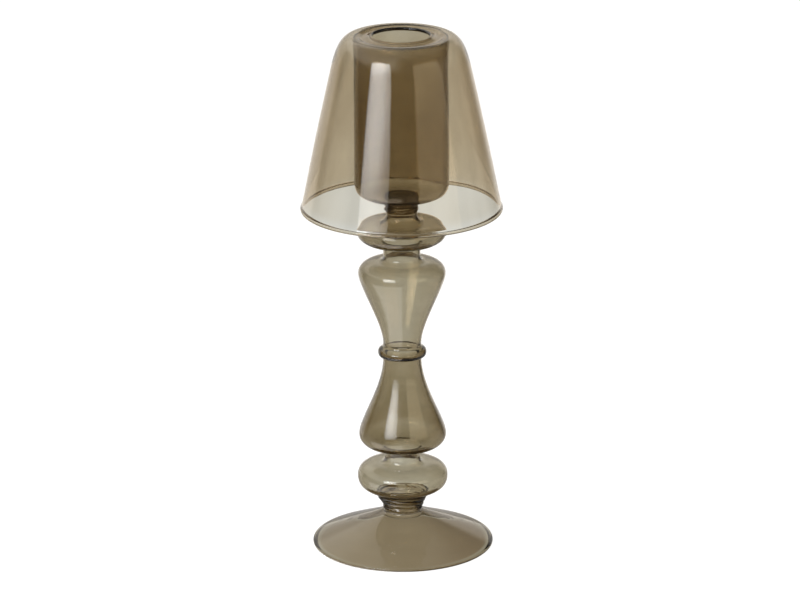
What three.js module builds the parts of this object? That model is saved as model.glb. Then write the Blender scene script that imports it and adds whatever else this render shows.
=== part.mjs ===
// Hurricane candle holder in smoke-brown blown glass.
// A turned stem on a wide foot carries a tall candle cup, and a lampshade of
// the same glass sits on the rim of the cup, where it lifts off to reach the
// candle. Millimetres, +Z up. The origin is the middle of the foot, on the
// table. Every piece is drawn as an outline of radius against height, with its
// own underside at height 0, and is turned about the upright axis.

import * as THREE from 'three';
import { mergeVertices } from 'three/addons/utils/BufferGeometryUtils.js';

// Foot: a shallow dome that stands on a ground ring
const footRadius = 72.1;
const footEdgeRound = 1.2;
const footDomeRise = 23.1;
const footSlope = 0.45;
const footWall = 2.6;
const footRingWidth = 2.8;
const footNeckRadius = 14.5;
const footNeckFillet = 4.5;
const footNeckRise = 2;

// Foot merese: the thick ringed neck between foot and stem
const footMereseHeight = 14.4;
const footMereseFlarePower = 1.8;
const lowerSeatRadius = 21.1;

// Stem sections, all blown to one wall; each neck is shared by two sections
const stemWall = 2.1;
const lowerKnopRadius = 35.9;
const lowerKnopUnderside = 14.3;
const lowerKnopShoulder = 10.5;
const lowerKnopFillet = 4.5;
const lowerKnopNeck = 2.8;
const lowerNeckRadius = 14;
const lowerBalusterNeck = 4;
const lowerBalusterUnderside = 11.4;
const lowerBalusterRadius = 34.6;
const lowerBalusterTaper = 63.8;
const collarNeckRadius = 15.2;
const collarRadius = 19.3;
const collarUnderside = 3.8;
const collarShoulder = 6.9;
const collarFloor = 2;
const upperBalusterFlare = 58;
const upperBalusterRadius = 34.7;
const upperBalusterShoulder = 10;
const upperBalusterFillet = 4.5;
const upperBalusterNeck = 3.9;
const upperNeckRadius = 14.8;
const upperKnopNeck = 3.9;
const upperKnopUnderside = 10.2;
const upperKnopRadius = 35.5;
const upperKnopShoulder = 8;
const upperKnopFillet = 6.5;
const upperKnopTopNeck = 2.2;
const undersideFillet = 2;

// Straight run that every tapering section keeps where it is joined
const jointRun = 0.7;

// Cup merese: the thick ringed neck under the candle cup
const cupNeckRadius = 12.5;
const cupSeatRadius = 13.2;
const cupMereseHeight = 12;
const cupMereseFlarePower = 1;

// Both mereses are hollow like the stem, with a thicker wall at their tops and
// soft rings pressed round them
const mereseWall = 3;
const ringCount = 3;
const ringDepth = 0.5;

// Candle cup: a straight glass tube with a flat floor and a rounded foot
const cupRadius = 37.2;
const cupWall = 2;
const cupSide = 114.1;
const cupCornerAcross = 16.5;
const cupCornerRise = 14;

// Shade: a blown cone with a round shoulder, a dished top and an open vent
const shadeWall = 2.2;
const shadeHeight = 140.8;
const shadeRimRadius = 79.2;
const shadeRimBead = 1.5;
const shadeSideBow = 0.6;
const shadeShoulderDrop = 27.5;
const shadeShoulderReach = 17.5;
const shadeCrestOverhang = 0.8;
const dishReach = 5.7;
const dishDepth = 2.6;
const lipReach = 4.7;
const lipRise = 1.6;
const ventLipBead = 1.6;
const shadeSeatClearance = 0.3;

// How full a curve is: how far it runs straight on at each end, as a share of
// its whole run
const bulgeFullness = 0.62;
const lowerKnopStartFullness = { across: 0.58, up: 0.27 };
const lowerKnopCrownFullness = 0.78;
const upperKnopCrownFullness = 0.95;
const domeStartFullness = { across: 0.26, up: 0.27 };
const domeEndFullness = { across: 0.38, up: 0.41 };
const filletFullness = 0.55;
const lowerTaperStartFullness = 0.18;
const lowerTaperEndFullness = 0.39;
const upperFlareStartFullness = 0.28;
const upperFlareEndFullness = 0.17;
const cornerStartFullness = 0.72;
const cornerEndFullness = 0.85;
const shoulderStartFullness = 0.52;
const shoulderEndFullness = 0.57;
const dishFullness = 0.5;

// Facets round the axis, and pieces that each drawn curve is cut into
const facetCount = 28;
const longCurveCount = 6;
const bulgeCurveCount = 5;
const filletCurveCount = 2;
const beadCurveCount = 4;
const ringCurveCount = 2;

const smokeGlass = { roughness: 0.04, metalness: 0, transparent: true, opacity: 0.55 };
const footColour = 0x8c806c;
const stemColour = 0x857a5b;
const bulbColour = 0x978a68;
const mereseColour = 0x4e452c;
const cupColour = 0x74663f;
const shadeColour = 0xa39878;

const level = (share) => ({ across: share, up: 0 });
const upright = (share) => ({ across: 0, up: share });

// An outline is a list of points, from the bottom up, with the glass on its
// left and the open air on its right
function startAt(radius, height = 0) {
  return [new THREE.Vector2(radius, height)];
}

function lineBy(outline, radius, rise) {
  outline.push(new THREE.Vector2(radius, outline.at(-1).y + rise));
}

// A curve from the last point to a new radius, one rise higher
function curveBy(outline, radius, rise, leave, arrive, steps) {
  const from = outline.at(-1);
  const across = radius - from.x;
  const curve = new THREE.CubicBezierCurve(
    from,
    new THREE.Vector2(from.x + leave.across * across, from.y + leave.up * rise),
    new THREE.Vector2(radius - arrive.across * across, from.y + rise - arrive.up * rise),
    new THREE.Vector2(radius, from.y + rise),
  );
  outline.push(...curve.getPoints(steps).slice(1));
}

// Where a section opens out of its neck: a straight run, then a small fillet
function openFromNeck(outline, neckRadius, run) {
  lineBy(outline, neckRadius, run);
  curveBy(outline, neckRadius + undersideFillet, undersideFillet,
    upright(filletFullness), level(filletFullness), filletCurveCount);
}

// Where a shoulder runs into the neck above it: a fillet, then a straight run
function closeToNeck(outline, neckRadius, fillet, run) {
  curveBy(outline, neckRadius, fillet,
    level(filletFullness), upright(filletFullness), filletCurveCount);
  lineBy(outline, neckRadius, run);
}

// The inner face of a blown wall: each point moved into the glass by the wall,
// square to the outer face
function innerFace(outer, wall) {
  return outer.map((point, i) => {
    const before = outer[Math.max(i - 1, 0)];
    const after = outer[Math.min(i + 1, outer.length - 1)];
    const arriving = (i > 0 ? point.clone().sub(before) : after.clone().sub(point)).normalize();
    const leaving = (i < outer.length - 1 ? after.clone().sub(point) : arriving.clone()).normalize();
    const along = arriving.clone().add(leaving).normalize();
    const reach = wall / along.dot(arriving);
    return new THREE.Vector2(point.x - along.y * reach, point.y + along.x * reach);
  });
}

// How far the middle of a bead lies past the end of the wall that it finishes
function beadStandoff(wall, beadRadius) {
  return Math.sqrt(beadRadius ** 2 - (wall / 2) ** 2);
}

// A fire-polished edge: the round bead that carries the outline from one face
// of a wall over to the other
function polishedEdge(from, to, beadRadius) {
  const wall = from.distanceTo(to);
  const middle = from.clone().add(to).divideScalar(2);
  const side = from.clone().sub(middle).normalize();
  const ahead = new THREE.Vector2(-side.y, side.x);
  const centre = middle.clone().addScaledVector(ahead, beadStandoff(wall, beadRadius));
  const sweep = Math.PI - Math.asin(wall / 2 / beadRadius);
  const points = [];
  for (let i = 1; i < beadCurveCount; i += 1) {
    const angle = sweep - (2 * sweep * i) / beadCurveCount;
    points.push(centre.clone()
      .addScaledVector(ahead, beadRadius * Math.cos(angle))
      .addScaledVector(side, beadRadius * Math.sin(angle)));
  }
  return points;
}

// Turns a closed outline about the upright axis
function turned(name, outline, colour) {
  const lathe = new THREE.LatheGeometry(outline, facetCount);
  lathe.rotateX(Math.PI / 2);
  lathe.deleteAttribute('normal');
  lathe.deleteAttribute('uv');
  const geometry = mergeVertices(lathe);
  geometry.computeVertexNormals();
  const mesh = new THREE.Mesh(geometry, new THREE.MeshStandardMaterial({ ...smokeGlass, color: colour }));
  mesh.name = name;
  return mesh;
}

// A section that is open at both ends, with flat rings where it meets the next
function section(name, outer, inner, colour) {
  const outline = [...outer, ...inner.reverse(), outer[0]];
  return { mesh: turned(name, outline, colour), height: outer.at(-1).y };
}

function blownSection(name, outer, wall, colour) {
  return section(name, outer, innerFace(outer, wall), colour);
}

// A thick neck with soft rings pressed round it, flaring towards its top
function ringedNeck(name, bottomRadius, topRadius, height, flare, bottomWall) {
  const outer = [];
  const inner = [];
  const steps = ringCount * ringCurveCount;
  for (let i = 0; i <= steps; i += 1) {
    const share = i / steps;
    const body = bottomRadius + (topRadius - bottomRadius) * share ** flare;
    const ring = ringDepth * Math.sin(Math.PI * ringCount * share) ** 2;
    const wall = bottomWall + (mereseWall - bottomWall) * share;
    outer.push(new THREE.Vector2(body + ring, height * share));
    inner.push(new THREE.Vector2(body - wall, height * share));
  }
  return section(name, outer, inner, mereseColour);
}

function foot() {
  // The round edge turns up until it lies along the slope of the dome
  const edgeEnd = Math.PI / 2 - Math.atan(footSlope);
  const edge = new THREE.EllipseCurve(
    footRadius - footEdgeRound, footEdgeRound, footEdgeRound, footEdgeRound,
    -Math.PI / 2, edgeEnd,
  ).getPoints(beadCurveCount);
  const dome = [edge.at(-1)];
  curveBy(dome, footNeckRadius + footNeckFillet, footDomeRise,
    domeStartFullness, domeEndFullness, longCurveCount);
  const neckUp = footSlope * footNeckFillet * filletFullness / footNeckRise;
  curveBy(dome, footNeckRadius, footNeckRise,
    { across: filletFullness, up: neckUp }, upright(filletFullness), filletCurveCount);
  lineBy(dome, footNeckRadius, jointRun);
  const ringInside = new THREE.Vector2(footRadius - footRingWidth, 0);
  const inside = innerFace(dome, footWall).slice(1).reverse();
  const outline = [ringInside, ...edge, ...dome.slice(1), ...inside, ringInside];
  return { mesh: turned('foot', outline, footColour), height: dome.at(-1).y };
}

function footMerese() {
  return ringedNeck('foot_merese', footNeckRadius, lowerSeatRadius,
    footMereseHeight, footMereseFlarePower, footWall);
}

function lowerKnop() {
  const outer = startAt(lowerSeatRadius);
  curveBy(outer, lowerKnopRadius, lowerKnopUnderside,
    lowerKnopStartFullness, upright(bulgeFullness), bulgeCurveCount);
  curveBy(outer, lowerNeckRadius + lowerKnopFillet, lowerKnopShoulder,
    upright(lowerKnopCrownFullness), level(bulgeFullness), bulgeCurveCount);
  closeToNeck(outer, lowerNeckRadius, lowerKnopFillet, lowerKnopNeck);
  const inner = [...startAt(lowerSeatRadius - mereseWall), ...innerFace(outer, stemWall).slice(1)];
  return section('lower_knop', outer, inner, bulbColour);
}

function lowerBaluster() {
  const outer = startAt(lowerNeckRadius);
  openFromNeck(outer, lowerNeckRadius, lowerBalusterNeck);
  curveBy(outer, lowerBalusterRadius, lowerBalusterUnderside,
    level(bulgeFullness), upright(bulgeFullness), bulgeCurveCount);
  curveBy(outer, collarNeckRadius, lowerBalusterTaper,
    upright(lowerTaperStartFullness), upright(lowerTaperEndFullness), longCurveCount);
  lineBy(outer, collarNeckRadius, jointRun);
  return blownSection('lower_baluster', outer, stemWall, stemColour);
}

function collar() {
  const outer = startAt(collarNeckRadius);
  curveBy(outer, collarRadius, collarUnderside,
    level(bulgeFullness), upright(bulgeFullness), bulgeCurveCount);
  curveBy(outer, collarNeckRadius, collarShoulder,
    upright(bulgeFullness), upright(dishFullness), bulgeCurveCount);

  // Hollow too: its inner face follows the outer one, above a thick underside
  const bore = collarNeckRadius - stemWall;
  const inner = startAt(bore);
  lineBy(inner, bore, collarFloor);
  curveBy(inner, collarRadius - stemWall, collarUnderside - collarFloor,
    level(bulgeFullness), upright(bulgeFullness), bulgeCurveCount);
  curveBy(inner, bore, collarShoulder,
    upright(bulgeFullness), upright(dishFullness), bulgeCurveCount);
  return section('collar', outer, inner, stemColour);
}

function upperBaluster() {
  const outer = startAt(collarNeckRadius);
  lineBy(outer, collarNeckRadius, jointRun);
  curveBy(outer, upperBalusterRadius, upperBalusterFlare,
    upright(upperFlareStartFullness), upright(upperFlareEndFullness), longCurveCount);
  curveBy(outer, upperNeckRadius + upperBalusterFillet, upperBalusterShoulder,
    upright(bulgeFullness), level(bulgeFullness), bulgeCurveCount);
  closeToNeck(outer, upperNeckRadius, upperBalusterFillet, upperBalusterNeck);
  return blownSection('upper_baluster', outer, stemWall, bulbColour);
}

function upperKnop() {
  const outer = startAt(upperNeckRadius);
  openFromNeck(outer, upperNeckRadius, upperKnopNeck);
  curveBy(outer, upperKnopRadius, upperKnopUnderside,
    level(bulgeFullness), upright(bulgeFullness), bulgeCurveCount);
  curveBy(outer, cupNeckRadius + upperKnopFillet, upperKnopShoulder,
    upright(upperKnopCrownFullness), level(bulgeFullness), bulgeCurveCount);
  closeToNeck(outer, cupNeckRadius, upperKnopFillet, upperKnopTopNeck);
  return blownSection('upper_knop', outer, stemWall, stemColour);
}

function cupMerese() {
  return ringedNeck('cup_merese', cupNeckRadius, cupSeatRadius,
    cupMereseHeight, cupMereseFlarePower, stemWall);
}

function candleCup() {
  const outer = startAt(0);
  lineBy(outer, cupRadius - cupCornerAcross, 0);
  curveBy(outer, cupRadius, cupCornerRise,
    level(cornerStartFullness), upright(cornerEndFullness), longCurveCount);
  lineBy(outer, cupRadius, cupSide - cupWall / 2);
  const inner = innerFace(outer, cupWall);
  const rim = polishedEdge(outer.at(-1), inner.at(-1), cupWall / 2);
  const outline = [...outer, ...rim, ...inner.reverse()];
  return { mesh: turned('candle_cup', outline, cupColour), height: cupCornerRise + cupSide };
}

function shade() {
  const crestIndex = bulgeCurveCount + longCurveCount;
  const crestRadius = cupRadius + shadeCrestOverhang;
  const shoulderRadius = crestRadius + shadeShoulderReach;
  const rimStart = shadeRimBead + beadStandoff(shadeWall, shadeRimBead);
  const sideRise = shadeHeight - shadeShoulderDrop - rimStart;
  const sideAcross = shadeRimRadius - shoulderRadius;
  const bowShare = shadeSideBow / sideAcross;

  // Up the side, which bows out a little, and over the shoulder to the crest
  const outer = startAt(shadeRimRadius, rimStart);
  curveBy(outer, shoulderRadius, sideRise,
    { across: 1 / 3 - bowShare, up: 1 / 3 }, { across: 1 / 3 + bowShare, up: 1 / 3 }, bulgeCurveCount);
  const sideEnd = shoulderStartFullness * sideAcross * shadeShoulderDrop / (sideRise * shadeShoulderReach);
  curveBy(outer, crestRadius, shadeShoulderDrop,
    { across: sideEnd, up: shoulderStartFullness }, level(shoulderEndFullness), longCurveCount);

  // Across the rim of the cup, down into the dish and up to the vent
  const seatRadius = cupRadius - cupWall / 2;
  const dishRadius = seatRadius - dishReach;
  lineBy(outer, seatRadius, 0);
  curveBy(outer, dishRadius, -dishDepth, level(dishFullness), level(dishFullness), bulgeCurveCount);
  curveBy(outer, dishRadius - lipReach, lipRise, level(dishFullness), level(0), filletCurveCount);

  const inner = innerFace(outer, shadeWall);
  const ventLip = polishedEdge(outer.at(-1), inner.at(-1), ventLipBead);
  const rimBead = polishedEdge(inner[0], outer[0], shadeRimBead);
  const outline = [...outer, ...ventLip, ...inner.reverse(), ...rimBead, outer[0]];
  return { mesh: turned('shade', outline, shadeColour), crest: outer[crestIndex].y };
}

// The sections stand on each other, face to face, from the foot to the cup
const holder = new THREE.Group();
let top = 0;
const sections = [
  foot(), footMerese(), lowerKnop(), lowerBaluster(), collar(),
  upperBaluster(), upperKnop(), cupMerese(), candleCup(),
];
for (const { mesh, height } of sections) {
  mesh.position.z = top;
  holder.add(mesh);
  top += height;
}

// The crest of the shade rests on the rim of the cup, with its seat clearance
const lampshade = shade();
lampshade.mesh.position.z = top + shadeSeatClearance + shadeWall - lampshade.crest;

const candleHolder = new THREE.Group();
candleHolder.add(holder, lampshade.mesh);

export default candleHolder;
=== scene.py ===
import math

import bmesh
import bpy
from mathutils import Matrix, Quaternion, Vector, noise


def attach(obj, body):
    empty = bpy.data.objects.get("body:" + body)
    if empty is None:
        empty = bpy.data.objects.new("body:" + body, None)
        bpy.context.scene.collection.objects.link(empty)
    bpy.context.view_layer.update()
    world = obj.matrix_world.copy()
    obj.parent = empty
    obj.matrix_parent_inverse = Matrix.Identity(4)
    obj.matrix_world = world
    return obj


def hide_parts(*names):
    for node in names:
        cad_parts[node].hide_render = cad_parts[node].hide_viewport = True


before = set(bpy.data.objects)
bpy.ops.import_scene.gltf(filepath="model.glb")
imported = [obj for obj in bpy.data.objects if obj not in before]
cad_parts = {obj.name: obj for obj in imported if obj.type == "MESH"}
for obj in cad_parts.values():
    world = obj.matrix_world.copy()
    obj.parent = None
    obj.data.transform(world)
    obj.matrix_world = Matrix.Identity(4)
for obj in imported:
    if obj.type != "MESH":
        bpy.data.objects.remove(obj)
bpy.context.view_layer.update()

# A smoke-brown blown-glass candle holder with its lift-off shade.
# Sizes are in millimetres until a piece is made. Every glass piece is an
# outline of radius against height, turned about the upright axis, and then
# given the faint waves of hand-blown glass.

mm = 0.001
print("loaded", len(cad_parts), "pieces of the packed model")


def smooth(x):
    x = min(max(x, 0.0), 1.0)
    return x * x * (3 - 2 * x)


# Outlines: lists of (radius, height), from the bottom up, with the glass on
# their left.

quarterRound = 0.55  # how far a quarter circle runs straight on at its ends
fullRound = 0.62     # the same for the side of a blown bulb, which is fuller


# how far a curve runs straight on at each end, as a share of its run
def level(share):
    return (share, 0.0)


def upright(share):
    return (0.0, share)


def lineBy(outline, radius, rise, step=1.5):
    r, z = outline[-1]
    count = max(1, round(math.hypot(radius - r, rise) / step))
    for i in range(1, count + 1):
        outline.append((r + (radius - r) * i / count, z + rise * i / count))


def curveBy(outline, radius, rise, leave, arrive, steps):
    r, z = outline[-1]
    across = radius - r
    start = Vector((r, z))
    first = Vector((r + leave[0] * across, z + leave[1] * rise))
    second = Vector((radius - arrive[0] * across, z + rise - arrive[1] * rise))
    end = Vector((radius, z + rise))
    for i in range(1, steps + 1):
        t = i / steps
        u = 1 - t
        p = u**3 * start + 3 * u * u * t * first + 3 * u * t * t * second + t**3 * end
        outline.append((p.x, p.y))


# where a section opens out of its neck, and where a shoulder runs into one
def openFromNeck(outline, neck, run, fillet):
    lineBy(outline, neck, run)
    curveBy(outline, neck + fillet, fillet, upright(quarterRound), level(quarterRound), steps=6)


def closeToNeck(outline, neck, fillet, run):
    curveBy(outline, neck, fillet, level(quarterRound), upright(quarterRound), steps=8)
    lineBy(outline, neck, run)


# the inner face of a wall: each point moved square to the outline, into the
# glass; wall gives the thickness at a height
def innerFace(outer, wall):
    inner = []
    for i, here in enumerate(outer):
        back = Vector(outer[max(i - 1, 0)])
        ahead = Vector(outer[min(i + 1, len(outer) - 1)])
        p = Vector(here)
        arriving = (p - back) if i > 0 else (ahead - p)
        leaving = (ahead - p) if i < len(outer) - 1 else arriving
        along = (arriving.normalized() + leaving.normalized()).normalized()
        reach = wall(p.y) / along.dot(arriving.normalized())
        inner.append((p.x - along.y * reach, p.y + along.x * reach))
    return inner


def even(wall):
    return lambda z: wall


def growing(low, lowWall, high, highWall):
    return lambda z: lowWall + (highWall - lowWall) * smooth((z - low) / (high - low))


cornerShare = 0.68    # of the wall, taken off the fillet inside a neck
tightestCorner = 0.3


# the corner inside a neck is tighter than the wall's thickness alone would make
# it, so that it bends what is seen through it least
def insideFillet(fillet, wall):
    return max(fillet - cornerShare * wall, tightestCorner)


# how far the round bead of a fire-polished edge stands out past its wall
def edgeReach(wall, bead):
    return bead + math.sqrt(bead**2 - (wall / 2) ** 2)


# that bead, from one face of the wall to the other
def polishedEdge(start, end, bead, steps):
    a, b = Vector(start), Vector(end)
    wall = (b - a).length
    side = (a - b).normalized()
    ahead = Vector((-side.y, side.x))
    centre = (a + b) / 2 + ahead * math.sqrt(bead**2 - (wall / 2) ** 2)
    sweep = math.pi - math.asin(wall / 2 / bead)
    points = []
    for i in range(1, steps):
        angle = sweep - 2 * sweep * i / steps
        p = centre + ahead * bead * math.cos(angle) + side * bead * math.sin(angle)
        points.append((p.x, p.y))
    return points


# rounds off the small steps in a line, all but its first two places
def soften(line, passes):
    for _ in range(passes):
        middle = [
            ((a[0] + 2 * b[0] + c[0]) / 4, (a[1] + 2 * b[1] + c[1]) / 4)
            for a, b, c in zip(line[1:], line[2:], line[3:])
        ]
        line = [*line[:2], *middle, line[-1]]
    return line


# Turning an outline into a piece.

facets = 120     # round the axis
sharpAngle = 50  # degrees; an edge that turns more stays sharp


# slow waves round and along a blown wall
def wave(angle, height, seed, across, along):
    return noise.noise(Vector((math.cos(angle) * across, math.sin(angle) * across, height * along + seed)))


# ripple gives how far, in millimetres, each place of the outline lies off it
def turnPiece(name, outline, ripple, finish, body, nodes):
    mesh = bmesh.new()
    rings = []
    for i, (r, z) in enumerate(outline):
        if r < 1e-6:  # on the axis
            rings.append([mesh.verts.new((0, 0, z * mm))])
            continue
        along = Vector(outline[(i + 1) % len(outline)]) - Vector(outline[i - 1])
        along.normalize()
        ring = []
        for j in range(facets):
            angle = 2 * math.pi * j / facets
            off = ripple(i, z, angle)
            radius = (r + along.y * off) * mm
            height = (z - along.x * off) * mm
            ring.append(mesh.verts.new((radius * math.cos(angle), radius * math.sin(angle), height)))
        rings.append(ring)
    for i in range(len(rings)):
        low, high = rings[i], rings[(i + 1) % len(rings)]
        if len(low) == 1 and len(high) == 1:
            continue
        for j in range(facets):
            k = (j + 1) % facets
            corners = [low[j % len(low)], low[k % len(low)], high[k % len(high)], high[j % len(high)]]
            mesh.faces.new(list(dict.fromkeys(corners)))
    bmesh.ops.recalc_face_normals(mesh, faces=mesh.faces)
    data = bpy.data.meshes.new(name)
    mesh.to_mesh(data)
    mesh.free()
    data.shade_smooth()
    data.set_sharp_from_angle(angle=math.radians(sharpAngle))
    piece = bpy.data.objects.new(name, data)
    bpy.context.scene.collection.objects.link(piece)
    data.materials.append(finish)
    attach(piece, body)
    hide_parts(*nodes)
    print("made", name, "with", len(data.polygons), "faces")


# Short ways to make the nodes of the glass, the room and the lamps.

# gives a socket a number or a colour, or links another node's output to it
def feed(tree, socket, value):
    if isinstance(value, bpy.types.NodeSocket):
        tree.links.new(value, socket)
    elif socket.type != "RGBA":
        socket.default_value = value
    elif isinstance(value, tuple):
        socket.default_value = (*value, 1)
    else:
        socket.default_value = (value, value, value, 1)


def mathNode(tree, operation, *values):
    node = tree.nodes.new("ShaderNodeMath")
    node.operation = operation
    for socket, value in zip(node.inputs, values):
        feed(tree, socket, value)
    return node.outputs[0]


# from one span of values to another: in a straight line, or eased at both ends
def spanNode(tree, value, span, low=0.0, high=1.0, easing="LINEAR"):
    node = tree.nodes.new("ShaderNodeMapRange")
    node.interpolation_type = easing
    node.inputs["From Min"].default_value = span[0]
    node.inputs["From Max"].default_value = span[1]
    node.inputs["To Min"].default_value = low
    node.inputs["To Max"].default_value = high
    tree.links.new(value, node.inputs["Value"])
    return node.outputs["Result"]


def rampNode(tree, value, span, low=0.0, high=1.0):
    return spanNode(tree, value, span, low, high, "SMOOTHSTEP")


def mixNode(tree, share, first, second, blend="MIX"):
    node = tree.nodes.new("ShaderNodeMix")
    node.data_type = "RGBA"
    node.blend_type = blend
    feed(tree, node.inputs["Factor"], share)
    feed(tree, node.inputs["A"], first)
    feed(tree, node.inputs["B"], second)
    return node.outputs["Result"]


def tintNode(tree, colour, tint):
    return mixNode(tree, 1.0, colour, tint, "MULTIPLY")


def noiseNode(tree, place, scale, detail):
    node = tree.nodes.new("ShaderNodeTexNoise")
    node.inputs["Scale"].default_value = scale
    node.inputs["Detail"].default_value = detail
    tree.links.new(place, node.inputs["Vector"])
    return node.outputs["Fac"]


def bumpNode(tree, height, depth, under=None):
    node = tree.nodes.new("ShaderNodeBump")
    node.inputs["Strength"].default_value = 1.0
    node.inputs["Distance"].default_value = depth * mm
    tree.links.new(height, node.inputs["Height"])
    if under is not None:
        tree.links.new(under, node.inputs["Normal"])
    return node.outputs["Normal"]


def splitNode(tree, place):
    node = tree.nodes.new("ShaderNodeSeparateXYZ")
    tree.links.new(place, node.inputs["Vector"])
    return node.outputs


# Glass, mixed in two batches. clearPerMm is the red, green and blue light left
# after one millimetre; depths are in millimetres.

handBlown = {
    "ior": 1.47, "cloudScale": 22.0, "cloudDetail": 2.0, "striaDetail": 2.0,
    "filmScale": 42.0, "filmDetail": 3.0, "filmSpan": (0.45, 0.75), "streakSpan": (0.8, 1.2),
    "lampTint": (0.95, 0.95, 0.94),
}
holderBatch = {
    "clearPerMm": (0.778, 0.73, 0.636), "cloudDepth": 0.1,
    "striaScale": (22, 22, 260), "striaDepth": 0.11, "streaks": 0.05, "smudge": 0.01,
}
shadeBatch = {
    "clearPerMm": (0.876, 0.824, 0.739), "cloudDepth": 0.08,
    "striaScale": (60, 60, 5), "striaDepth": 0.03, "streaks": 0.085, "smudge": 0.008,
}


def blownGlass(name, s, batch):
    material = bpy.data.materials.new(name)
    material.use_nodes = True
    tree = material.node_tree
    tree.nodes.clear()
    output = tree.nodes.new("ShaderNodeOutputMaterial")
    glass = tree.nodes.new("ShaderNodeBsdfPrincipled")
    glass.inputs["Transmission Weight"].default_value = 1.0
    glass.inputs["IOR"].default_value = s["ior"]
    place = tree.nodes.new("ShaderNodeTexCoord").outputs["Object"]

    # slow clouding of the blown wall, and striae that the turning of the pipe
    # draws out of it
    cloud = noiseNode(tree, place, s["cloudScale"], s["cloudDetail"])
    stretch = tree.nodes.new("ShaderNodeMapping")
    stretch.inputs["Scale"].default_value = batch["striaScale"]
    tree.links.new(place, stretch.inputs["Vector"])
    stria = noiseNode(tree, stretch.outputs["Vector"], 1.0, s["striaDetail"])
    streaks = mathNode(tree, "ADD", cloud, stria)
    tint = spanNode(tree, streaks, s["streakSpan"], 1 - batch["streaks"], 1.0)
    tree.links.new(tint, glass.inputs["Base Color"])

    # handling leaves the polish a touch uneven
    film = noiseNode(tree, place, s["filmScale"], s["filmDetail"])
    rough = spanNode(tree, film, s["filmSpan"], 0.0, batch["smudge"])
    tree.links.new(rough, glass.inputs["Roughness"])
    swell = bumpNode(tree, cloud, batch["cloudDepth"])
    drawn = bumpNode(tree, stria, batch["striaDepth"], swell)
    tree.links.new(drawn, glass.inputs["Normal"])

    # lamps shine through the wall, so that it doesn't throw a black shadow
    path = tree.nodes.new("ShaderNodeLightPath")
    lit = tree.nodes.new("ShaderNodeBsdfTransparent")
    lit.inputs["Color"].default_value = (*s["lampTint"], 1)
    either = tree.nodes.new("ShaderNodeMixShader")
    tree.links.new(path.outputs["Is Shadow Ray"], either.inputs["Fac"])
    tree.links.new(glass.outputs["BSDF"], either.inputs[1])
    tree.links.new(lit.outputs["BSDF"], either.inputs[2])
    tree.links.new(either.outputs["Shader"], output.inputs["Surface"])

    # the brown of the glass grows with its depth
    taken = [-math.log(c) / mm for c in batch["clearPerMm"]]
    density = max(taken) * 1.02  # just over the greatest, whose colour would be zero
    depth = tree.nodes.new("ShaderNodeVolumeAbsorption")
    depth.inputs["Color"].default_value = (*[1 - t / density for t in taken], 1)
    depth.inputs["Density"].default_value = density
    tree.links.new(depth.outputs["Volume"], output.inputs["Volume"])
    return material


holderGlass = blownGlass("smoke glass of the holder", handBlown, holderBatch)
shadeGlass = blownGlass("smoke glass of the shade", handBlown, shadeBatch)
print("mixed the glass")


# Sections of the holder: each returns its outer and its inner outline and the
# height at which the next section stands on it.

foot = {
    "radius": 72.1, "edgeRound": 1.5, "slope": 0.45, "wall": 2.6, "ringWidth": 2.8,
    "domeTop": 25.394, "domeLeave": (0.26, 0.27), "domeArrive": (0.38, 0.41),
    "neckRadius": 14.5, "neckFillet": 3.2, "neckRise": 1.5, "neckRun": 1.2,
}


def footOutlines(s):
    edge = []
    edgeEnd = math.pi / 2 - math.atan(s["slope"])
    edgeSteps = 10
    for i in range(edgeSteps + 1):
        angle = -math.pi / 2 + (edgeEnd + math.pi / 2) * i / edgeSteps
        edge.append((
            s["radius"] - s["edgeRound"] + s["edgeRound"] * math.cos(angle),
            s["edgeRound"] + s["edgeRound"] * math.sin(angle),
        ))
    dome = [edge[-1]]
    domeRise = s["domeTop"] - edge[-1][1]
    curveBy(dome, s["neckRadius"] + s["neckFillet"], domeRise, s["domeLeave"], s["domeArrive"], steps=26)
    neckUp = s["slope"] * s["neckFillet"] * quarterRound / s["neckRise"]
    curveBy(dome, s["neckRadius"], s["neckRise"], (quarterRound, neckUp), upright(quarterRound), steps=8)
    lineBy(dome, s["neckRadius"], s["neckRun"])
    inner = [(s["radius"] - s["ringWidth"], 0.0), *innerFace(dome, even(s["wall"]))[1:]]
    return [*edge, *dome[1:]], inner, dome[-1][1]


# the ringed necks; windRings, further down, winds their rings on
footMerese = {
    "bottom": 14.5, "top": 21.1, "height": 14.4, "flare": 1.8, "bottomWall": 2.6, "topWall": 3.0,
    "rings": 3.5, "depth": 1.1, "slant": 1.1, "windFrom": 14.4, "uneven": 0.8,
}
cupMerese = {
    "bottom": 12.5, "top": 13.2, "height": 12.0, "flare": 1.0, "bottomWall": 2.6, "topWall": 3.4,
    "rings": 3, "depth": 1.1, "slant": 0.8, "windFrom": 12.0, "uneven": 0.8,
    "drop": 0.5, "dropRing": 0.2, "dropRings": 2.5, "dropEdge": 6,
}


def mereseOutlines(s):
    outer = []
    inner = []
    steps = 36
    for i in range(steps + 1):
        share = i / steps
        body = s["bottom"] + (s["top"] - s["bottom"]) * share ** s["flare"]
        wall = s["bottomWall"] + (s["topWall"] - s["bottomWall"]) * share
        outer.append((body, s["height"] * share))
        inner.append((body - wall, s["height"] * share))
    return outer, inner, s["height"]


# the hollow of the stem ends under the cup, whose floor hangs into it as a drop
def closedMereseOutlines(s):
    outer, inner, height = mereseOutlines(s)
    bore = inner[-1][0]
    steps = 16
    for i in range(1, steps + 1):
        share = 1 - i / steps
        drop = s["drop"] * (1 + math.cos(math.pi * share)) / 2
        ring = s["dropRing"] * math.sin(s["dropRings"] * math.pi * share) ** 2
        ring *= smooth((1 - share) * s["dropEdge"])
        inner.append((bore * share, height - drop - ring))
    return outer, inner, height


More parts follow.
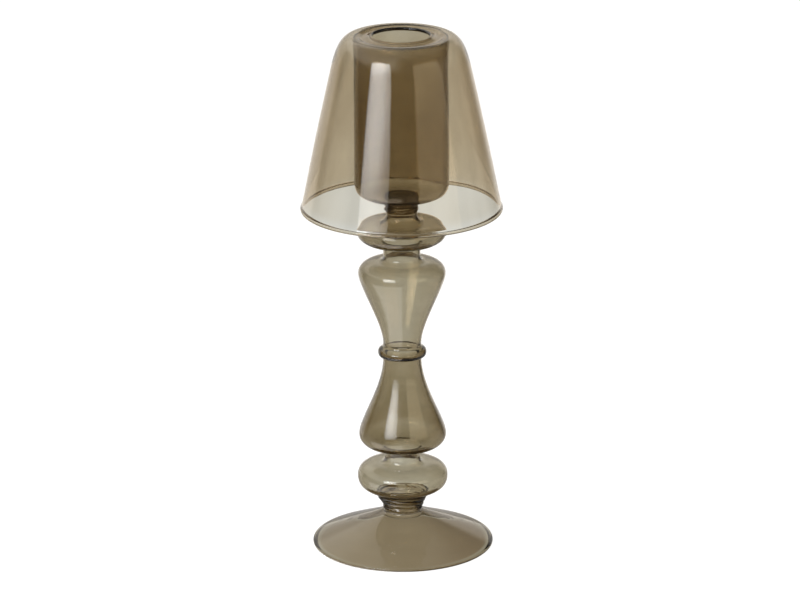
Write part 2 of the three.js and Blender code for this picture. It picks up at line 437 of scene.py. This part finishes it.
lowerKnop = {
    "seat": 21.1, "seatWall": 3.0, "wall": 1.55, "radius": 35.9,
    "underside": 14.3, "undersideLeave": (0.58, 0.27), "shoulder": 10.5, "shoulderLeave": 0.78,
    "neck": 14.0, "neckFillet": 4.5, "neckRun": 2.8,
}


def lowerKnopOutlines(s):
    def line(fillet):
        points = [(s["seat"], 0.0)]
        curveBy(points, s["radius"], s["underside"], s["undersideLeave"], upright(fullRound), steps=18)
        leave = upright(s["shoulderLeave"])
        curveBy(points, s["neck"] + fillet, s["shoulder"], leave, level(fullRound), steps=20)
        closeToNeck(points, s["neck"], fillet, s["neckRun"] + s["neckFillet"] - fillet)
        return points

    outer = line(s["neckFillet"])
    inner = innerFace(line(insideFillet(s["neckFillet"], s["wall"])), even(s["wall"]))
    return outer, [(s["seat"] - s["seatWall"], 0.0), *inner[1:]], outer[-1][1]


# its wall is thickest round its widest part, wideFrom to wideTo up the bulb
lowerBaluster = {
    "neck": 14.0, "neckRun": 4.0, "neckFillet": 2.0, "underside": 11.4, "radius": 34.6,
    "taper": 63.8, "taperLeave": 0.18, "taperArrive": 0.39, "top": 15.2, "topRun": 0.7,
    "neckWall": 1.8, "neckWallTo": 11.0, "wideWall": 2.7, "wideFrom": 22.0, "wideTo": 24.0,
    "topWall": 2.3, "topWallFrom": 44.0,
}


def lowerBalusterOutlines(s):
    def line(fillet):
        points = [(s["neck"], 0.0)]
        openFromNeck(points, s["neck"], s["neckRun"] + s["neckFillet"] - fillet, fillet)
        curveBy(points, s["radius"], s["underside"], level(fullRound), upright(fullRound), steps=18)
        curveBy(points, s["top"], s["taper"], upright(s["taperLeave"]), upright(s["taperArrive"]), steps=26)
        lineBy(points, s["top"], s["topRun"])
        return points

    outer = line(s["neckFillet"])
    low = growing(s["neckWallTo"], s["neckWall"], s["wideFrom"], s["wideWall"])
    high = growing(s["wideTo"], s["wideWall"], s["topWallFrom"], s["topWall"])
    inside = line(insideFillet(s["neckFillet"], s["neckWall"]))
    return outer, innerFace(inside, lambda z: min(low(z), high(z))), outer[-1][1]


collar = {
    "neck": 15.2, "radius": 19.3, "underside": 3.8, "shoulder": 6.9, "shoulderArrive": 0.5,
    "wall": 2.0, "innerBulge": 3.4, "bulgeLean": 0.85,
}


def collarOutlines(s):
    outer = [(s["neck"], 0.0)]
    curveBy(outer, s["radius"], s["underside"], level(fullRound), upright(fullRound), steps=14)
    curveBy(outer, s["neck"], s["shoulder"], upright(fullRound), upright(s["shoulderArrive"]), steps=16)
    bore = s["neck"] - s["wall"]
    height = outer[-1][1]
    inner = []
    steps = 20
    for i in range(steps + 1):
        share = i / steps
        bulge = s["innerBulge"] * math.sin(math.pi * share ** s["bulgeLean"]) ** 2
        inner.append((bore + bulge, height * share))
    return outer, inner, height


upperBaluster = {
    "bottom": 15.2, "bottomRun": 0.7, "flare": 58.0, "flareLeave": 0.28, "flareArrive": 0.17,
    "radius": 34.7, "shoulder": 10.0, "neck": 14.8, "neckFillet": 4.5, "neckRun": 3.9, "wall": 1.75,
}


def upperBalusterOutlines(s):
    def line(fillet):
        points = [(s["bottom"], 0.0)]
        lineBy(points, s["bottom"], s["bottomRun"])
        leave, arrive = upright(s["flareLeave"]), upright(s["flareArrive"])
        curveBy(points, s["radius"], s["flare"], leave, arrive, steps=28)
        curveBy(points, s["neck"] + fillet, s["shoulder"], upright(fullRound), level(fullRound), steps=18)
        closeToNeck(points, s["neck"], fillet, s["neckRun"] + s["neckFillet"] - fillet)
        return points

    outer = line(s["neckFillet"])
    inside = line(insideFillet(s["neckFillet"], s["wall"]))
    return outer, innerFace(inside, even(s["wall"])), outer[-1][1]


upperKnop = {
    "neck": 14.8, "neckRun": 3.9, "bottomFillet": 2.0, "wall": 1.9, "underside": 10.2, "radius": 35.5,
    "shoulder": 8.0, "shoulderLeave": 0.95, "topNeck": 12.5, "topFillet": 6.5, "topRun": 2.2,
}


def upperKnopOutlines(s):
    def line(low, high):
        points = [(s["neck"], 0.0)]
        openFromNeck(points, s["neck"], s["neckRun"] + s["bottomFillet"] - low, low)
        curveBy(points, s["radius"], s["underside"], level(fullRound), upright(fullRound), steps=18)
        leave = upright(s["shoulderLeave"])
        curveBy(points, s["topNeck"] + high, s["shoulder"], leave, level(fullRound), steps=20)
        closeToNeck(points, s["topNeck"], high, s["topRun"] + s["topFillet"] - high)
        return points

    outer = line(s["bottomFillet"], s["topFillet"])
    inside = line(insideFillet(s["bottomFillet"], s["wall"]), insideFillet(s["topFillet"], s["wall"]))
    return outer, innerFace(inside, even(s["wall"])), outer[-1][1]


# the cup's outline goes up its side, over its rim and down to its floor; the
# wall is drawn thinner from thinFrom, a share of its height, up to the rim
candleCup = {
    "radius": 37.2, "side": 114.1, "sideStep": 6.0,
    "cornerAcross": 16.5, "cornerRise": 14.0, "cornerLeave": 0.72, "cornerArrive": 0.85,
    "lowWall": 2.2, "topWall": 1.6, "thinFrom": 0.45, "rimBead": 0.86,
}


def candleCupOutline(s):
    outer = [(s["radius"] - s["cornerAcross"], 0.0)]
    leave, arrive = level(s["cornerLeave"]), upright(s["cornerArrive"])
    curveBy(outer, s["radius"], s["cornerRise"], leave, arrive, steps=24)
    lineBy(outer, s["radius"], s["side"] - edgeReach(s["topWall"], s["rimBead"]), s["sideStep"])
    top = outer[-1][1]
    inner = innerFace(outer, growing(top * s["thinFrom"], s["lowWall"], top, s["topWall"]))
    rim = polishedEdge(outer[-1], inner[-1], s["rimBead"], steps=10)
    return [*outer, *rim, *reversed(inner), (0.0, s["lowWall"])], s["cornerRise"] + s["side"]


# The holder: its sections are fused in the flame, so its glass is one wall, up
# the outside, over the rim of the cup and down again inside the hollow stem.

samePlace = 0.0001  # two points nearer than this are one


def addTo(line, points, base):
    for r, z in points:
        if not line or math.hypot(line[-1][0] - r, line[-1][1] - z - base) > samePlace:
            line.append((r, z + base))


# unevenness is the depth of the waves on the outside, and inset how much of it
# they lie into the glass; hollowShare and ringShare are how much of the waves
# and of the rings shows in the hollow
holder = {
    "softening": 2, "unevenness": 0.1, "footUnevenness": 0.05, "inset": 0.3,
    "waveAcross": 1.6, "waveAlong": 0.035, "outsideSeed": 5.3, "hollowSeed": 45.3,
    "hollowShare": 1.5, "ringShare": 0.3, "groundFade": 6.0,
    "ringAcross": 1.6, "ringAlong": 3.6, "ringFade": 0.125,
}
outside = []
hollow = []
starts = {}
base = 0.0
for name, (outer, inner, height) in (
    ("foot", footOutlines(foot)),
    ("foot_merese", mereseOutlines(footMerese)),
    ("lower_knop", lowerKnopOutlines(lowerKnop)),
    ("lower_baluster", lowerBalusterOutlines(lowerBaluster)),
    ("collar", collarOutlines(collar)),
    ("upper_baluster", upperBalusterOutlines(upperBaluster)),
    ("upper_knop", upperKnopOutlines(upperKnop)),
    ("cup_merese", closedMereseOutlines(cupMerese)),
):
    starts[name] = base
    addTo(outside, outer, base)
    addTo(hollow, inner, base)
    base += height
starts["candle_cup"] = base
cupLine, cupHeight = candleCupOutline(candleCup)
addTo(outside, cupLine, base)
hollow = soften(hollow, holder["softening"])
cupRim = base + cupHeight
print("stacked the holder to", round(cupRim, 2), "mm")


# rings of glass wound on a neck, of uneven depth, that fade at both of its ends
def windRings(s, share, angle):
    lean = s["slant"] * math.sin(angle + s["windFrom"]) * math.sin(math.pi * share)
    ring = abs(math.sin(math.pi * s["rings"] * share + lean))
    vary = 1 + s["uneven"] * wave(angle, share, s["windFrom"], holder["ringAcross"], holder["ringAlong"])
    ends = smooth(share / holder["ringFade"]) * smooth((1 - share) / holder["ringFade"])
    return s["depth"] * ring * vary * ends


def holderRipple(i, z, angle):
    onOutside = i < len(outside)
    for name, s in (("foot_merese", footMerese), ("cup_merese", cupMerese)):
        share = (z - starts[name]) / s["height"]
        if 0 < share < 1:
            rings = windRings(s, share, angle)
            return rings if onOutside else holder["ringShare"] * rings
    depth = holder["footUnevenness"] if z < starts["foot_merese"] else holder["unevenness"]
    fade = smooth(z / holder["groundFade"])
    across, along = holder["waveAcross"], holder["waveAlong"]
    if onOutside:
        return depth * (wave(angle, z, holder["outsideSeed"], across, along) - holder["inset"]) * fade
    return depth * holder["hollowShare"] * wave(angle, z, holder["hollowSeed"], across, along) * fade


holderLine = [*outside, *reversed(hollow)]
holderNodes = [*starts]
turnPiece("holderGlass", holderLine, holderRipple, holderGlass, "holder", holderNodes)


# The shade, loose on the rim of the cup. Its wall is thin over its own rim and
# at its crest, and thickest up the side. The waves of its two faces lie inset
# into the glass, and fade out towards the crest and the rim.

shade = {
    "height": 141.0, "rimRadius": 78.87, "sideBow": 0.6,
    "shoulderDrop": 27.5, "shoulderReach": 17.5, "shoulderLeave": 0.52, "shoulderArrive": 0.57,
    "crestOverhang": 0.8, "seatInset": 1.0, "seatStep": 0.6, "seatClearance": 0.3,
    "dishReach": 6.6, "dishDepth": 1.7, "dishBend": 0.5, "lipReach": 4.8, "lipRise": 1.3,
    "rimBead": 1.5, "ventBead": 1.3, "rimWall": 1.7, "lowerWall": 2.1, "sideWall": 2.35, "crestWall": 1.8,
    "lowerRun": 8.0, "sideStart": 25.0, "sideRun": 50.0, "crestStart": 24.0, "crestRun": 22.0,
    "unevenness": 0.16, "innerShare": 1.5, "inset": 0.16, "waveAcross": 1.3, "waveAlong": 0.02,
    "outerSeed": 91.0, "innerSeed": 131.0,
    "crestCalm": 2.5, "crestFade": 25.0, "rimCalm": 3.0, "rimFade": 12.0,
}


def shadeOutline(s):
    crestRadius = candleCup["radius"] + s["crestOverhang"]
    shoulderRadius = crestRadius + s["shoulderReach"]
    rimStart = edgeReach(s["rimWall"], s["rimBead"])
    sideRise = s["height"] - s["shoulderDrop"] - rimStart
    sideAcross = s["rimRadius"] - shoulderRadius
    outer = [(s["rimRadius"], rimStart)]

    # thirds alone would draw a straight side, and the bow bends it outwards
    bow = s["sideBow"] / sideAcross
    curveBy(outer, shoulderRadius, sideRise, (1 / 3 - bow, 1 / 3), (1 / 3 + bow, 1 / 3), steps=60)

    # the shoulder leaves the side in line with it
    leave = s["shoulderLeave"]
    lean = leave * sideAcross * s["shoulderDrop"] / (sideRise * s["shoulderReach"])
    curveBy(outer, crestRadius, s["shoulderDrop"], (lean, leave), level(s["shoulderArrive"]), steps=40)
    crest = outer[-1][1]
    seatRadius = candleCup["radius"] - s["seatInset"]
    dishRadius = seatRadius - s["dishReach"]
    bend = level(s["dishBend"])
    lineBy(outer, seatRadius, 0.0, s["seatStep"])
    curveBy(outer, dishRadius, -s["dishDepth"], bend, bend, steps=20)
    curveBy(outer, dishRadius - s["lipReach"], s["lipRise"], bend, level(0.0), steps=12)

    def wallAt(z):
        wall = s["rimWall"] + (s["lowerWall"] - s["rimWall"]) * smooth((z - rimStart) / s["lowerRun"])
        wall += (s["sideWall"] - s["lowerWall"]) * smooth((z - s["sideStart"]) / s["sideRun"])
        return wall + (s["crestWall"] - s["sideWall"]) * smooth((z - crest + s["crestStart"]) / s["crestRun"])

    inner = innerFace(outer, wallAt)
    ventLip = polishedEdge(outer[-1], inner[-1], s["ventBead"], steps=18)
    rimBead = polishedEdge(inner[0], outer[0], s["rimBead"], steps=18)
    outerCount = len(outer) + len(ventLip)
    return [*outer, *ventLip, *reversed(inner), *rimBead], outerCount, crest


shadeLine, shadeOuterCount, shadeCrest = shadeOutline(shade)
shadeBase = cupRim + shade["seatClearance"] + shade["crestWall"] - shadeCrest
shadeLine = [(r, z + shadeBase) for r, z in shadeLine]


def shadeRipple(i, z, angle):
    fade = smooth((shadeBase + shadeCrest - shade["crestCalm"] - z) / shade["crestFade"])
    fade *= smooth((z - shadeBase - shade["rimCalm"]) / shade["rimFade"])
    depth, across, along = shade["unevenness"], shade["waveAcross"], shade["waveAlong"]
    if i < shadeOuterCount:
        return (depth * wave(angle, z, shade["outerSeed"], across, along) - shade["inset"]) * fade
    depth *= shade["innerShare"]
    return (depth * wave(angle, z, shade["innerSeed"], across, along) + shade["inset"]) * fade


turnPiece("shadeGlass", shadeLine, shadeRipple, shadeGlass, "lampshade", ["shade"])
print("set the shade on the rim of the cup")


# The studio: white paper behind the holder, and a darker room round it.

# room gives the brightness that the glass sees, at angles in degrees round from
# the backdrop; spans are in metres, out from the axis or along the floor
studio = {
    "floorSize": 16.0, "floorDrop": 0.0004, "floorPale": 0.2, "floorMottle": 1.02, "floorGrain": 3.0,
    "floorDetail": 2.0, "floorGlow": 0.95,
    "throughTint": (0.78, 0.895, 1.03), "mirrorTint": (1.0, 0.95, 0.88),
    "room": (
        (-180, 0.07), (-115, 0.1), (-98, 0.4), (-74, 0.45), (-66, 0.12), (-59, 0.12), (-52, 0.9), (-40, 1.0),
        (0, 1.0), (30, 1.0), (40, 0.3), (47, 0.12), (56, 0.12), (66, 0.5), (83, 0.6), (95, 0.75), (106, 0.55),
        (115, 0.15), (180, 0.07),
    ),
    "nearSpan": (0.3, 0.5), "leftSpan": (-0.02, 0.02), "frontSpan": (-0.05, 0.02),
    # frontLeft is a pool of light and frontRight shade, painted on the floor that the glass mirrors
    "frontLeft": 2.6, "frontRight": 0.3, "nearBehind": 1.0, "nearFront": 0.8,
    # a shadow painted on the floor under the foot, seen through it, darker to the right
    "footSpan": (0.064, 0.069), "footRightSpan": (0.0, 0.06),
    "footPaintedShadow": (0.595, 0.515, 0.425), "footPaintedShadowRight": (0.53, 0.435, 0.35),
    # mirrorNear and mirrorFar paint the holder's shadow on the floor behind it, as the glass mirrors it
    "mirrorSpan": (0.1, 0.6), "mirrorNear": 0.35, "mirrorFar": 0.5,
}

# the room above the floor; spans are how far a line of sight rises, or goes to
# the right, in each metre
roomAbove = {
    "horizon": 0.75, "horizonSpan": (-0.02, 0.08),
    "paperEndSpan": (0.3, 0.45), "middleSpan": (-0.25, 0.05), "upperLeft": 1.2, "upperRight": 0.12,
    "ceilingSpan": (0.65, 0.85), "rightSpan": (-0.3, 0.3), "ceilingLeft": 0.8, "ceilingRight": 0.3,
}


# how bright the room is, round from the backdrop
def roomNode(tree, where, stops):
    turned = mathNode(tree, "ARCTAN2", where["X"], where["Y"])
    share = mathNode(tree, "ADD", mathNode(tree, "DIVIDE", turned, 2 * math.pi), 0.5)
    walls = tree.nodes.new("ShaderNodeValToRGB")
    for i, (angle, value) in enumerate(stops):
        place = angle / 360 + 0.5
        ends = walls.color_ramp.elements
        stop = ends[0] if i == 0 else ends[-1] if i == len(stops) - 1 else ends.new(place)
        stop.position = place
        stop.color = (value, value, value, 1)
    tree.links.new(share, walls.inputs["Fac"])
    return walls.outputs["Color"]


def makeFloor(s):
    mesh = bmesh.new()
    bmesh.ops.create_grid(mesh, x_segments=8, y_segments=8, size=s["floorSize"] / 2)
    data = bpy.data.meshes.new("studioFloor")
    mesh.to_mesh(data)
    mesh.free()
    floor = bpy.data.objects.new("studioFloor", data)
    floor.location.z = -s["floorDrop"]
    bpy.context.scene.collection.objects.link(floor)
    material = bpy.data.materials.new("pale studio floor")
    material.use_nodes = True
    tree = material.node_tree
    tree.nodes.clear()
    output = tree.nodes.new("ShaderNodeOutputMaterial")
    place = tree.nodes.new("ShaderNodeTexCoord").outputs["Object"]
    pale = tree.nodes.new("ShaderNodeValToRGB")
    pale.color_ramp.elements[0].color = (*[s["floorPale"]] * 3, 1)
    pale.color_ramp.elements[1].color = (*[s["floorPale"] * s["floorMottle"]] * 3, 1)
    tree.links.new(noiseNode(tree, place, s["floorGrain"], s["floorDetail"]), pale.inputs["Fac"])
    paint = tree.nodes.new("ShaderNodeBsdfDiffuse")
    tree.links.new(pale.outputs["Color"], paint.inputs["Color"])

    # the glass sees bright paper behind and near the holder, darker floor
    # further round it, and under the foot a brown shadow painted into the glow
    where = splitNode(tree, place)
    distance = tree.nodes.new("ShaderNodeVectorMath")
    distance.operation = "LENGTH"
    tree.links.new(place, distance.inputs[0])
    away = distance.outputs["Value"]
    farOff = rampNode(tree, away, s["nearSpan"])
    toLeft = rampNode(tree, where["X"], s["leftSpan"], 1.0, 0.0)
    toFront = rampNode(tree, where["Y"], s["frontSpan"], 1.0, 0.0)
    far = roomNode(tree, where, s["room"])
    near = mixNode(tree, toFront, s["nearBehind"], s["nearFront"])
    through = tintNode(tree, mixNode(tree, farOff, near, far), s["throughTint"])
    # painted shadow: the floor under the foot glows brown and dim, more so to the right
    underFoot = rampNode(tree, away, s["footSpan"], 1.0, 0.0)
    toRight = rampNode(tree, where["X"], s["footRightSpan"])
    footPaintedShadow = mixNode(tree, toRight, s["footPaintedShadow"], s["footPaintedShadowRight"])
    through = mixNode(tree, underFoot, through, tintNode(tree, footPaintedShadow, s["throughTint"]))

    # on its outside it mirrors a floor with painted light: a pool of light in
    # front on the left, shade in front on the right, and behind it a painted
    # shadow, dimmer near the foot
    front = mixNode(tree, toLeft, s["frontRight"], s["frontLeft"])
    behind = rampNode(tree, away, s["mirrorSpan"], s["mirrorNear"], s["mirrorFar"])
    mirrored = mixNode(tree, toFront, behind, front)
    mirrored = tintNode(tree, mixNode(tree, farOff, mirrored, far), s["mirrorTint"])

    # the camera itself sees plain white paper, with the holder's shadow on it
    path = tree.nodes.new("ShaderNodeLightPath").outputs
    seenInGlass = mixNode(tree, path["Is Transmission Ray"], mirrored, through)
    inGlass = mathNode(tree, "MAXIMUM", path["Is Glossy Ray"], path["Is Transmission Ray"])
    seen = mathNode(tree, "MAXIMUM", inGlass, path["Is Camera Ray"])
    glow = tree.nodes.new("ShaderNodeEmission")
    tree.links.new(mixNode(tree, path["Is Camera Ray"], seenInGlass, 1.0), glow.inputs["Color"])
    tree.links.new(mathNode(tree, "MULTIPLY", seen, s["floorGlow"]), glow.inputs["Strength"])
    both = tree.nodes.new("ShaderNodeAddShader")
    tree.links.new(paint.outputs["BSDF"], both.inputs[0])
    tree.links.new(glow.outputs["Emission"], both.inputs[1])
    tree.links.new(both.outputs["Shader"], output.inputs["Surface"])
    data.materials.append(material)


# the backdrop ends not far above the holder; over it there is a pale wall on the
# left, a dark one on the right and a white ceiling
def makeWorld(s, above):
    world = bpy.data.worlds.new("studio room")
    bpy.context.scene.world = world
    world.use_nodes = True
    tree = world.node_tree
    tree.nodes.clear()
    output = tree.nodes.new("ShaderNodeOutputWorld")
    where = splitNode(tree, tree.nodes.new("ShaderNodeTexCoord").outputs["Generated"])
    walls = roomNode(tree, where, s["room"])
    overFloor = rampNode(tree, where["Z"], above["horizonSpan"])
    walls = mixNode(tree, overFloor, walls, tintNode(tree, walls, (above["horizon"],) * 3))
    paperEnd = rampNode(tree, where["Z"], above["paperEndSpan"])
    toMiddle = rampNode(tree, where["X"], above["middleSpan"])
    upper = mixNode(tree, toMiddle, above["upperLeft"], above["upperRight"])
    walls = mixNode(tree, paperEnd, walls, upper)
    overhead = rampNode(tree, where["Z"], above["ceilingSpan"])
    toRight = rampNode(tree, where["X"], above["rightSpan"])
    ceiling = mixNode(tree, toRight, above["ceilingLeft"], above["ceilingRight"])
    room = mixNode(tree, overhead, walls, ceiling)
    path = tree.nodes.new("ShaderNodeLightPath").outputs
    through = tintNode(tree, room, s["throughTint"])
    mirrored = tintNode(tree, room, s["mirrorTint"])
    inGlass = mixNode(tree, path["Is Transmission Ray"], mirrored, through)
    sky = tree.nodes.new("ShaderNodeBackground")
    tree.links.new(mixNode(tree, path["Is Camera Ray"], inGlass, 1.0), sky.inputs["Color"])
    tree.links.new(sky.outputs["Background"], output.inputs["Surface"])


makeFloor(studio)
makeWorld(studio, roomAbove)
print("laid the floor and hung the backdrop")

# The lamps. Azimuths and rolls are in degrees, lengths in metres; growth is where
# up the lamp it gets bright and brightest, as shares of its height.

softbox = {
    "azimuth": -34.9, "low": 0.3, "high": 1.28, "away": 1.3, "width": 0.88, "corner": 0.13, "roll": 10.0,
    "faint": 3.6, "bright": 7.6, "brightest": 11.5, "growth": (0.1, 0.24, 0.35, 0.6),
    "dimLeft": 0.65, "dimRight": 0.5, "colour": (0.95, 1.01, 1.09),
}
panel = {
    "azimuth": 46.0, "low": 0.25, "high": 1.3, "away": 1.4, "width": 1.4, "corner": 0.2, "roll": 0.0,
    "faint": 1.1, "bright": 1.5, "brightest": 1.6, "growth": (0.1, 0.4, 0.5, 0.8),
    "dimLeft": 1.0, "dimRight": 1.0, "colour": (1.0, 0.87, 0.62),
}

# where both lamps fade, as shares of the corner and of the width
lampFace = {"cornerFrom": 0.55, "leftSpan": (0.0, 0.35), "rightSpan": (0.5, 0.95)}


# a soft lamp with rounded corners that faces the holder; it is fainter towards
# its lower edge and its sides
def softLamp(name, s, face):
    side = math.radians(s["azimuth"])
    height = s["high"] - s["low"]
    data = bpy.data.lights.new(name, "AREA")
    data.shape = "RECTANGLE"
    data.size = s["width"]
    data.size_y = height
    data.energy = math.pi * s["width"] * height  # a strength of 1 then shows as white
    data.use_nodes = True
    tree = data.node_tree
    tree.nodes.clear()
    output = tree.nodes.new("ShaderNodeOutputLight")
    where = splitNode(tree, tree.nodes.new("ShaderNodeNewGeometry").outputs["Parametric"])
    overs = []
    for channel, size in (("X", s["width"]), ("Y", height)):
        fromMiddle = mathNode(tree, "SUBTRACT", where[channel], 0.5)
        real = mathNode(tree, "MULTIPLY", mathNode(tree, "ABSOLUTE", fromMiddle), size)
        over = mathNode(tree, "MAXIMUM", mathNode(tree, "SUBTRACT", real, size / 2 - s["corner"]), 0.0)
        overs.append(mathNode(tree, "MULTIPLY", over, over))
    reach = mathNode(tree, "SQRT", mathNode(tree, "ADD", *overs))
    mask = rampNode(tree, reach, (s["corner"] * face["cornerFrom"], s["corner"]), 1.0, 0.0)
    lower = rampNode(tree, where["Y"], s["growth"][:2], s["faint"], s["bright"])
    upper = rampNode(tree, where["Y"], s["growth"][2:], 0.0, s["brightest"] - s["bright"])
    left = rampNode(tree, where["X"], face["leftSpan"], s["dimLeft"], 1.0)
    right = rampNode(tree, where["X"], face["rightSpan"], 1.0, s["dimRight"])
    strength = mathNode(tree, "MULTIPLY", mask, mathNode(tree, "ADD", lower, upper))
    strength = mathNode(tree, "MULTIPLY", mathNode(tree, "MULTIPLY", strength, left), right)
    light = tree.nodes.new("ShaderNodeEmission")
    light.inputs["Color"].default_value = (*s["colour"], 1)
    tree.links.new(strength, light.inputs["Strength"])
    tree.links.new(light.outputs["Emission"], output.inputs["Surface"])
    lamp = bpy.data.objects.new(name, data)
    middle = Vector((s["away"] * math.sin(side), -s["away"] * math.cos(side), (s["low"] + s["high"]) / 2))
    lamp.location = middle
    facing = Vector((-middle.x, -middle.y, 0))
    lamp.rotation_mode = "QUATERNION"
    roll = Quaternion((0, 0, 1), math.radians(s["roll"]))
    lamp.rotation_quaternion = facing.to_track_quat("-Z", "Y") @ roll
    lamp.visible_camera = False
    bpy.context.scene.collection.objects.link(lamp)


softLamp("softboxLeft", softbox, lampFace)
softLamp("panelRight", panel, lampFace)
print("lit the studio")

# The camera, at the photograph's angle. Its lens and sensor are in millimetres,
# other lengths in metres and angles in degrees.

view = {
    "lens": 218.25, "sensor": 36.0, "away": 3.838, "elevation": 17.9, "roll": -0.25,
    "target": (-0.0016, 0.0, 0.2031), "farthest": 60.0,
}


def makeCamera(s):
    data = bpy.data.cameras.new("photoCamera")
    data.lens = s["lens"]
    data.sensor_width = s["sensor"]
    data.clip_end = s["farthest"]
    camera = bpy.data.objects.new("photoCamera", data)
    rise = math.radians(s["elevation"])
    back = Vector((0, -math.cos(rise), math.sin(rise)))
    camera.location = Vector(s["target"]) + back * s["away"]
    camera.rotation_mode = "QUATERNION"
    roll = Quaternion((0, 0, 1), math.radians(s["roll"]))
    camera.rotation_quaternion = (-back).to_track_quat("-Z", "Y") @ roll
    bpy.context.scene.collection.objects.link(camera)
    bpy.context.scene.camera = camera


makeCamera(view)
glassBounces = 24  # a line of sight crosses many walls of glass
bpy.context.scene.view_settings.view_transform = "Standard"
bpy.context.scene.cycles.max_bounces = glassBounces
bpy.context.scene.cycles.transmission_bounces = glassBounces
print("placed the camera")
